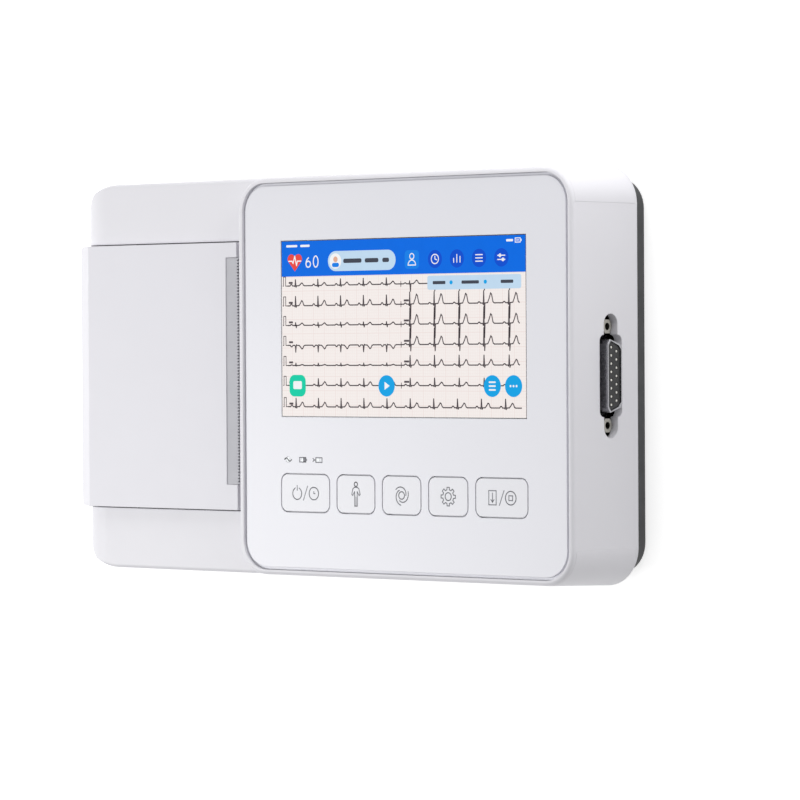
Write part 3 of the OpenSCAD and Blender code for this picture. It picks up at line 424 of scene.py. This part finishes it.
glass_low, glass_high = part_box("touch_glass")
SCREEN_LEFT = glass_low.x / MM
SCREEN_TOP = glass_high.y / MM
SCREEN_LONG = (glass_high.x - glass_low.x) / MM
SCREEN_HIGH = (glass_high.y - glass_low.y) / MM
PICTURE_Z = glass_high.z
LAYER = 0.012
HEADER_HIGH = 12.4


def at(u, v):
    """A place on the screen, u right of its left edge and v below its top edge."""
    return SCREEN_LEFT + u, SCREEN_TOP - v


def picture_layer(level):
    return PICTURE_Z + level * LAYER * MM


def picture_shapes(name, level, finish, draw):
    shape = bmesh.new()
    draw(shape)
    return lay_flat(name, shape, picture_layer(level), LAYER, finish, "casing")


def picture_lines(name, level, finish, width, paths):
    return lay_lines(name, paths, width, picture_layer(level), LAYER, finish, "casing")


def squared_ground():
    """The pale ground of the recording, ruled in fine squares with a stronger line at every fifth."""
    finish, tree, shader = new_finish("squared_ground")
    where = object_coordinates(tree)
    parts = tree.nodes.new("ShaderNodeSeparateXYZ")
    tree.links.new(where, parts.inputs["Vector"])
    lines = []
    for axis in ("X", "Y"):
        for pitch, half, weight in ((0.001, 0.00006, 0.35), (0.005, 0.0001, 0.8)):
            fold = tree.nodes.new("ShaderNodeMath")
            fold.operation = "PINGPONG"
            fold.inputs[1].default_value = pitch / 2
            tree.links.new(parts.outputs[axis], fold.inputs[0])
            lines.append(spread(tree, fold.outputs[0], weight, 0.0, half * 0.6, half * 1.4))
    total = lines[0]
    for line in lines[1:]:
        most = tree.nodes.new("ShaderNodeMath")
        most.operation = "MAXIMUM"
        tree.links.new(total, most.inputs[0])
        tree.links.new(line, most.inputs[1])
        total = most.outputs[0]
    for socket, share in (("Base Color", PICTURE_SHADE), ("Emission Color", 1)):
        ramp = tree.nodes.new("ShaderNodeValToRGB")
        ramp.color_ramp.elements[0].color = tuple(c * share for c in GRID_GROUND[:3]) + (1,)
        ramp.color_ramp.elements[1].color = tuple(c * share for c in GRID_LINE[:3]) + (1,)
        tree.links.new(total, ramp.inputs["Fac"])
        tree.links.new(ramp.outputs["Color"], shader.inputs[socket])
    shader.inputs["Emission Strength"].default_value = PICTURE_GLOW
    shader.inputs["Roughness"].default_value = 0.35
    shader.inputs["Specular IOR Level"].default_value = 0.1
    return finish


header_blue = lit("header_blue", HEADER_BLUE)
tile_blue = lit("tile_blue", TILE_BLUE)
disc_blue = lit("disc_blue", DISC_BLUE)
pill_blue = lit("pill_blue", PILL_BLUE)
button_blue = lit("button_blue", BUTTON_BLUE)
button_teal = lit("button_teal", TEAL)
heart_red = lit("heart_red", HEART_RED)
trace_dark = lit("trace_dark", TRACE_DARK)
picture_white = lit("picture_white", PICTURE_WHITE)
avatar_skin = lit("avatar_skin", SKIN_TONE)
word_dark = lit("word_dark", linear(70, 74, 86))


def plates(*rows):
    """Draws round-cornered plates from rows of u, v, length, height, corner."""
    def draw(shape):
        for u, v, length, height, corner in rows:
            x, y = at(u, v)
            flat_plate(shape, x, y, length, height, corner)
    return draw


def discs(*rows):
    """Draws discs from rows of u, v, radius."""
    def draw(shape):
        for u, v, radius in rows:
            x, y = at(u, v)
            flat_disc(shape, x, y, radius)
    return draw


TOOL_U = (70.5, 80.2, 89.9, 99.6)
TOOL_V = 7.6
TOOL_R = 3.1
TILE_U, TILE_SIDE = 60.2, 6.4
CLOCK_V, CLOCK_HIGH = 1.9, 0.8
PICTURE_MARGIN = 0.2
HEART_U, HEART_V = 6.4, 7.4
PILL_U, PILL_V, PILL_LONG, PILL_HIGH = 37.4, 7.5, 31.0, 7.0
AVATAR_U = PILL_U - 12
WORD_HIGH = 1.5


def header():
    """The ground and the blue band with its clock bars, battery sign, name pill, tile and discs."""
    long, high = SCREEN_LONG - 2 * PICTURE_MARGIN, SCREEN_HIGH - 2 * PICTURE_MARGIN
    picture_shapes("picture_ground", 0, squared_ground(),
                   plates((SCREEN_LONG / 2, SCREEN_HIGH / 2, long, high, 0)))
    picture_shapes("picture_header", 1, header_blue,
                   plates((SCREEN_LONG / 2, HEADER_HIGH / 2 + PICTURE_MARGIN, long, HEADER_HIGH, 0)))
    picture_shapes("picture_tile", 2, tile_blue, plates((TILE_U, TOOL_V, TILE_SIDE, TILE_SIDE, 1.4)))
    picture_shapes("picture_discs", 2, disc_blue, discs(*[(u, TOOL_V, TOOL_R) for u in TOOL_U]))
    picture_shapes("picture_pill", 2, pill_blue,
                   plates((PILL_U, PILL_V, PILL_LONG, PILL_HIGH, PILL_HIGH / 2 - 0.01)))
    picture_shapes("picture_avatar_ground", 3, picture_white, discs((AVATAR_U, PILL_V, 2.7)))
    picture_shapes("picture_avatar", 4, avatar_skin, discs((AVATAR_U, PILL_V - 0.6, 1.0)))
    picture_shapes("picture_avatar_shoulders", 4, tile_blue, plates((AVATAR_U, PILL_V + 1.35, 3.2, 1.5, 0.7)))
    words = [(PILL_U + along, PILL_V, long_word, WORD_HIGH, 0.6)
             for along, long_word in ((-4.2, 8.4), (4.6, 6.2), (11, 3))]
    picture_shapes("picture_pill_bars", 3, word_dark, plates(*words))
    clock = [(u, CLOCK_V, long_bar, CLOCK_HIGH, 0.35)
             for u, long_bar in ((5.0, 5.2), (11.2, 4.4), (103.2, 3.0))]
    picture_shapes("picture_clock_bars", 2, picture_white, plates(*clock))
    picture_lines("picture_cell", 2, picture_white, 0.3, [
        [at(105.6, 1.2), at(107.8, 1.2), at(107.8, 2.6), at(105.6, 2.6), at(105.6, 1.2)],
        [at(108.2, 1.6), at(108.2, 2.2)], [at(106.1, CLOCK_V), at(107.2, CLOCK_V)]])


def heart():
    """A heart from two arcs and a point, with a white pulse across it."""
    x, y = at(HEART_U, HEART_V)
    lobe = 1.75
    left = arc(x - lobe * 0.92, y + 0.9, lobe, 200, 30, 14)
    right = arc(x + lobe * 0.92, y + 0.9, lobe, 150, -20, 14)
    shape = bmesh.new()
    flat_outline(shape, left + right + [(x, y - 3.4)])
    lay_flat("picture_heart", shape, picture_layer(2), LAYER, heart_red, "casing")
    pulse = [(-2.9, 0.2), (-1.3, 0.2), (-0.8, -0.6), (0, 2.0), (0.8, -1.4), (1.2, 0.2), (2.9, 0.2)]
    picture_lines("picture_pulse", 3, picture_white, 0.42, [[(x + a, y + b) for a, b in pulse]])


def digits():
    """The rate, 60, in round-cornered strokes."""
    x, y = at(11.6, 7.5)
    six = arc(x + 1.1, y - 0.85, 1.05, 180, 540, 20) + arc(x + 2.4, y - 0.7, 2.35, 180, 118, 8)
    zero = arc(x + 4.6, y, 1.1, 0, 360, 24, squash=1.75)
    picture_lines("picture_rate", 2, picture_white, 0.45, [six, zero])


def tool_signs():
    """A clock, bars, lines and sliders on the discs, and a person on the tile."""
    white = []
    x, y = at(TOOL_U[0], TOOL_V)
    white += [ring(x, y, 1.6), [(x, y + 1.0), (x, y), (x + 0.8, y - 0.3)]]
    x, y = at(TOOL_U[1], TOOL_V)
    for along, top in ((-1.4, 0.1), (0, 1.4), (1.4, 0.7)):
        white.append([(x + along, y - 1.3), (x + along, y + top)])
    x, y = at(TOOL_U[2], TOOL_V)
    white += [[(x - 1.5, y + d), (x + 1.5, y + d)] for d in (-1.1, 0, 1.1)]
    x, y = at(TOOL_U[3], TOOL_V)
    white += [[(x - 1.6, y + d), (x + 1.6, y + d)] for d in (-0.7, 0.7)]
    white += [ring(x - 0.6, y + 0.7, 0.45, 12), ring(x + 0.7, y - 0.7, 0.45, 12)]
    x, y = at(TILE_U, TOOL_V)
    white += [ring(x, y + 1.1, 0.95, 18), arc(x, y - 1.9, 1.7, 0, 180, 14) + [(x + 1.7, y - 1.9)]]
    picture_lines("picture_tool_signs", 3, picture_white, 0.36, white)


def wave_points(u, v, r_high, s_low, t_high, p_high, pitch):
    """One heart beat of a lead, from u on, as points about the base line at v."""
    marks = [(0.0, 0), (0.10, 0), (0.14, p_high), (0.18, p_high), (0.22, 0), (0.30, 0),
             (0.325, -0.12 * abs(r_high)), (0.345, r_high), (0.375, -s_low), (0.395, 0),
             (0.50, 0.04 * t_high), (0.56, 0.45 * t_high), (0.62, t_high), (0.66, 0.85 * t_high),
             (0.71, 0.15 * t_high), (0.76, 0), (1.0, 0)]
    return [at(u + share * pitch, v - up) for share, up in marks]


LEAD_ROWS = (15.9, 22.9, 29.8, 36.8, 43.9, 50.9)
LEFT_LEADS = ((2.2, 0.5, 1.0, 0.5), (3.3, 0.5, 1.8, 0.6), (1.0, 0.8, 0.8, 0.3), (-2.4, -0.2, -1.3, -0.5),
              (0.8, 0.2, 0.3, 0.2), (2.4, 0.5, 1.3, 0.4))
RIGHT_LEADS = ((1.0, 2.6, 1.2, 0.3), (4.2, 5.2, 3.4, 0.4), (5.6, 4.8, 3.3, 0.4), (5.6, 2.2, 2.8, 0.4),
               (3.4, 0.8, 1.9, 0.4), (2.6, 0.4, 1.2, 0.4))
BEAT_LEFT = 10.5
BEAT_RIGHT = 10.9
RIGHT_START = 55.4
RHYTHM_V = 58.4
RHYTHM_BEAT = (3.0, 0.5, 1.6, 0.5)
BEATS = 5
LEFT_START = 3.0
BREAK_U = 55.2
STEP_HIGH = 3.2
TRACE_END = SCREEN_LEFT + SCREEN_LONG - 0.8


def calibration(v):
    """The square step before a lead."""
    top = v - STEP_HIGH
    return [at(0.7, v), at(1.0, v), at(1.0, top), at(2.0, top), at(2.0, v), at(LEFT_START, v)]


def beats(start, v, lead, pitch, count):
    line = []
    for beat in range(count):
        line += wave_points(start + beat * pitch, v, *lead, pitch)
    return line


def up_to_the_edge(line):
    return [point for point in line if point[0] < TRACE_END]


def traces():
    """Six leads in two columns and a rhythm strip, each after a calibration step."""
    paths, steps = [], []
    for v, left, right in zip(LEAD_ROWS, LEFT_LEADS, RIGHT_LEADS):
        paths.append(beats(LEFT_START, v, left, BEAT_LEFT, BEATS))
        paths.append(up_to_the_edge([at(55.6, v)] + beats(RIGHT_START, v, right, BEAT_RIGHT, BEATS)))
        steps.append(calibration(v))
        steps.append([at(BREAK_U, v + 0.9), at(BREAK_U, v - 0.9)])
    paths.append(up_to_the_edge(beats(LEFT_START, RHYTHM_V, RHYTHM_BEAT, BEAT_LEFT, 2 * BEATS)))
    steps.append(calibration(RHYTHM_V))
    picture_lines("picture_traces", 1, trace_dark, 0.42, paths)
    picture_lines("picture_steps", 1, trace_dark, 0.3, steps)
    names = [(4.4, v - 1.1, 1.9, 0.7, 0.2) for v in LEAD_ROWS + (RHYTHM_V,)]
    names += [(57.6, v - 1.3, 2.3, 0.7, 0.2) for v in LEAD_ROWS[1:]]
    picture_shapes("picture_lead_marks", 1, trace_dark, plates(*names))


BUTTON_V = 51.0
BUTTON_R = 3.7
STATUS_V = 15.7
PLAY_U, BARS_U, DOTS_U, TEAL_U = 48.5, 95.4, 104.6, 7.4


def status_band():
    """A pale band with three bars and two dots between them."""
    picture_shapes("picture_status", 2, pill_blue, plates((87.6, STATUS_V, 41.0, 4.8, 0.8)))
    bars = [(u, STATUS_V, long_bar, 1.1, 0.3) for u, long_bar in ((72.3, 5.6), (86.0, 7.6), (102.0, 5.4))]
    picture_shapes("picture_status_bars", 3, word_dark, plates(*bars))
    picture_shapes("picture_status_dots", 3, button_blue, discs((77.6, STATUS_V, 0.7), (92.6, STATUS_V, 0.7)))


def buttons():
    """Round buttons for play, list and more, and a square one for the view."""
    picture_shapes("picture_buttons", 2, button_blue,
                   discs(*[(u, BUTTON_V, BUTTON_R) for u in (PLAY_U, BARS_U, DOTS_U)]))
    picture_shapes("picture_teal", 2, button_teal, plates((TEAL_U, BUTTON_V, 7.6, 7.6, 2.2)))
    signs = bmesh.new()
    x, y = at(PLAY_U, BUTTON_V)
    flat_outline(signs, [(x - 0.9, y - 1.4), (x + 1.4, y), (x - 0.9, y + 1.4)])
    for d in (-1.3, 0, 1.3):
        x, y = at(DOTS_U + d, BUTTON_V)
        flat_disc(signs, x, y, 0.4, 16)
        x, y = at(BARS_U, BUTTON_V)
        flat_plate(signs, x, y + d, 3.0, 0.55, 0.2)
    x, y = at(TEAL_U, BUTTON_V)
    flat_plate(signs, x, y + 0.2, 4.0, 2.8, 0.5)
    lay_flat("picture_button_signs", signs, picture_layer(3), LAYER, picture_white, "casing")


header()
heart()
digits()
tool_signs()
traces()
status_band()
buttons()

# ---------------------------------------------------------------- printed marks

icon_ink = printed("icon_ink", ICON_GREY)
MARK_THICK = 0.015
MARK_LINE = 0.36
KEY_NODES = ("power_key", "patient_key", "rhythm_key", "menu_key", "print_key")


def key_middle(node):
    low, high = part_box(node)
    return (low.x + high.x) / 2 / MM, (low.y + high.y) / 2 / MM, high.z


def slash(x, y):
    return [(x - 1.0, y - 2.5), (x + 1.0, y + 2.5)]


def gear_sign(x, y, outer, inner, teeth):
    points = []
    for tooth in range(teeth):
        for share, radius in ((-0.30, inner), (-0.20, outer), (0.20, outer), (0.30, inner)):
            a = 2 * math.pi * (tooth + share) / teeth
            points.append((x + radius * math.cos(a), y + radius * math.sin(a)))
    return points + points[:1]


def power_sign(x, y):
    return [arc(x - 3.9, y - 0.2, 2.1, 115, 425, 24), [(x - 3.9, y + 0.9), (x - 3.9, y + 2.6)], slash(x, y),
            ring(x + 3.9, y - 0.1, 2.2), [(x + 3.9, y + 0.6), (x + 3.9, y - 0.1), (x + 4.5, y - 0.1)]]


def patient_sign(x, y):
    body = [(-0.6, -4.1), (-0.6, -0.4), (-0.6, 0.9), (-1.5, -0.4), (-1.9, 0.0), (-1.4, 1.9), (-0.7, 2.4),
            (0.7, 2.4), (1.4, 1.9), (1.9, 0.0), (1.5, -0.4), (0.6, 0.9), (0.6, -0.4), (0.6, -4.1),
            (-0.6, -4.1)]
    return [ring(x, y + 3.5, 0.75, 18), [(x + a, y + b) for a, b in body], [(x, y - 0.9), (x, y - 4.1)]]


def rhythm_sign(x, y):
    paths = [ring(x, y, 1.3, 20)]
    for turn in range(3):
        start = 120 * turn
        paths.append([(x + (1.9 + 1.3 * s / 12) * math.cos(math.radians(start + s * 12)),
                       y + (2.0 + 1.4 * s / 12) * math.sin(math.radians(start + s * 12))) for s in range(13)])
    return paths


def menu_sign(x, y):
    return [gear_sign(x, y, 3.2, 2.4, 8), ring(x, y, 1.35, 20)]


def print_sign(x, y):
    sheet = [(-5.6, -2.4), (-2.4, -2.4), (-2.4, 2.4), (-5.6, 2.4), (-5.6, -2.4)]
    feed = [(-4.0, 1.6), (-4.0, -1.4)]
    head = [(-4.7, -0.6), (-4.0, -1.5), (-3.3, -0.6)]
    stop = [(3.1, -0.8), (4.7, -0.8), (4.7, 0.8), (3.1, 0.8), (3.1, -0.8)]
    signs = [[(x + a, y + b) for a, b in path] for path in (sheet, feed, head, stop)]
    return signs + [slash(x, y), ring(x + 3.9, y, 2.3)]


for node, sign in zip(KEY_NODES, (power_sign, patient_sign, rhythm_sign, menu_sign, print_sign)):
    x, y, top = key_middle(node)
    lay_lines(node + "_sign", sign(x, y), MARK_LINE, top, MARK_THICK, icon_ink, node)

lens_low, lens_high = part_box("status_lenses")
lens_y = (lens_low.y + lens_high.y) / 2 / MM
LENS_R = 1.25
lens_a = lens_low.x / MM + LENS_R
lens_c = lens_high.x / MM - LENS_R
lens_b = (lens_a + lens_c) / 2


def status_signs():
    """A wave for mains, a half-full cell, and a cell on a lead."""
    wave = [(lens_a - 1.7 + 3.4 * t / 24,
             lens_y + 0.55 * math.sin(2 * math.pi * t / 24)) for t in range(25)]
    cell = [(lens_b - 1.6, lens_y - 0.8), (lens_b + 1.3, lens_y - 0.8), (lens_b + 1.3, lens_y + 0.8),
            (lens_b - 1.6, lens_y + 0.8), (lens_b - 1.6, lens_y - 0.8)]
    knob = [(lens_b + 1.75, lens_y - 0.3), (lens_b + 1.75, lens_y + 0.3)]
    charge = bmesh.new()
    flat_plate(charge, lens_b + 0.65, lens_y, 1.2, 1.6)
    lay_flat("status_charge", charge, lens_high.z, MARK_THICK, icon_ink, "casing")
    plug = [(lens_c - 2.4, lens_y + 0.6), (lens_c - 1.7, lens_y), (lens_c - 2.4, lens_y - 0.6)]
    cell_too = [(lens_c - 1.0, lens_y - 0.8), (lens_c + 1.9, lens_y - 0.8), (lens_c + 1.9, lens_y + 0.8),
                (lens_c - 1.0, lens_y + 0.8), (lens_c - 1.0, lens_y - 0.8)]
    lead = [(lens_c - 1.7, lens_y), (lens_c - 1.0, lens_y)]
    lay_lines("status_signs", [wave, cell, knob, plug, cell_too, lead], MARK_LINE, lens_high.z, MARK_THICK,
              icon_ink, "casing")


status_signs()

# ---------------------------------------------------------------- floor, light, camera

FLOOR_GLOW = 0.62
FLOOR_TONE = 0.82
FLOOR_HALF = 4


def floor():
    """A pale floor that keeps the shadow and shows as white to the camera and in reflections."""
    shape = bmesh.new()
    bmesh.ops.create_grid(shape, x_segments=1, y_segments=1, size=FLOOR_HALF)
    mesh = bpy.data.meshes.new("floor")
    shape.to_mesh(mesh)
    shape.free()
    ground = bpy.data.objects.new("floor", mesh)
    bpy.context.scene.collection.objects.link(ground)
    finish, tree, shader = new_finish("floor_white")
    shader.inputs["Base Color"].default_value = (FLOOR_TONE, FLOOR_TONE, FLOOR_TONE, 1)
    shader.inputs["Roughness"].default_value = 0.9
    shader.inputs["Specular IOR Level"].default_value = 0.1
    glow = tree.nodes.new("ShaderNodeEmission")
    both = tree.nodes.new("ShaderNodeAddShader")
    path = tree.nodes.new("ShaderNodeLightPath")
    seen = path.outputs["Is Camera Ray"]
    for ray in ("Is Glossy Ray", "Is Transmission Ray"):
        either = tree.nodes.new("ShaderNodeMath")
        either.operation = "MAXIMUM"
        tree.links.new(seen, either.inputs[0])
        tree.links.new(path.outputs[ray], either.inputs[1])
        seen = either.outputs[0]
    scaled = tree.nodes.new("ShaderNodeMath")
    scaled.operation = "MULTIPLY"
    scaled.inputs[1].default_value = FLOOR_GLOW
    tree.links.new(seen, scaled.inputs[0])
    tree.links.new(scaled.outputs[0], glow.inputs["Strength"])
    tree.links.new(shader.outputs[0], both.inputs[0])
    tree.links.new(glow.outputs[0], both.inputs[1])
    tree.links.new(both.outputs[0], tree.nodes["Material Output"].inputs["Surface"])
    mesh.materials.append(finish)


floor()


def lamp(name, place, aim, size, watts):
    """A round soft lamp that the camera doesn't see."""
    light = bpy.data.lights.new(name, "AREA")
    light.shape = "DISK"
    light.size = size
    light.energy = watts
    holder = bpy.data.objects.new(name, light)
    holder.location = place
    holder.rotation_euler = (Vector(aim) - Vector(place)).to_track_quat("-Z", "Y").to_euler()
    holder.visible_camera = False
    bpy.context.scene.collection.objects.link(holder)


lamp("lamp_left", (-1.19, -0.3, 1.1), (0, 0, 0.02), 0.8, 10.8)
lamp("lamp_low", (-1.1, -0.05, 0.3), (-0.1, 0, 0.03), 0.6, 1.5)
lamp("lamp_rear", (0.1, 1.5, 0.4), (0, 0, 0.03), 1.0, 8.4)
lamp("lamp_right", (0.33, 0.3, 0.13), (0.12, 0.03, 0.03), 0.16, 0.5)

WORLD_LIGHT = 0.51
world = bpy.data.worlds.new("studio")
world.use_nodes = True
world.node_tree.nodes["Background"].inputs["Color"].default_value = (1, 1, 1, 1)
world.node_tree.nodes["Background"].inputs["Strength"].default_value = WORLD_LIGHT
bpy.context.scene.world = world

CAMERA_PLACE = Vector((0.9430, 0.0089, 1.1085))
CAMERA_LOOK = Vector((-0.64559, -0.012225, -0.763585))
CAMERA_UP = Vector((-0.003778, 0.999911, -0.012815))
CAMERA_LENS = 181.84


def camera():
    eye = bpy.data.cameras.new("eye")
    eye.lens = CAMERA_LENS
    eye.sensor_width = 36
    eye.clip_start = 0.05
    eye.clip_end = 20
    holder = bpy.data.objects.new("eye", eye)
    back = -CAMERA_LOOK.normalized()
    side = CAMERA_UP.cross(back).normalized()
    up = back.cross(side).normalized()
    turn = Matrix((side, up, back)).transposed().to_4x4()
    holder.matrix_world = Matrix.Translation(CAMERA_PLACE) @ turn
    bpy.context.scene.collection.objects.link(holder)
    bpy.context.scene.camera = holder


camera()
bpy.context.scene.view_settings.view_transform = "Standard"
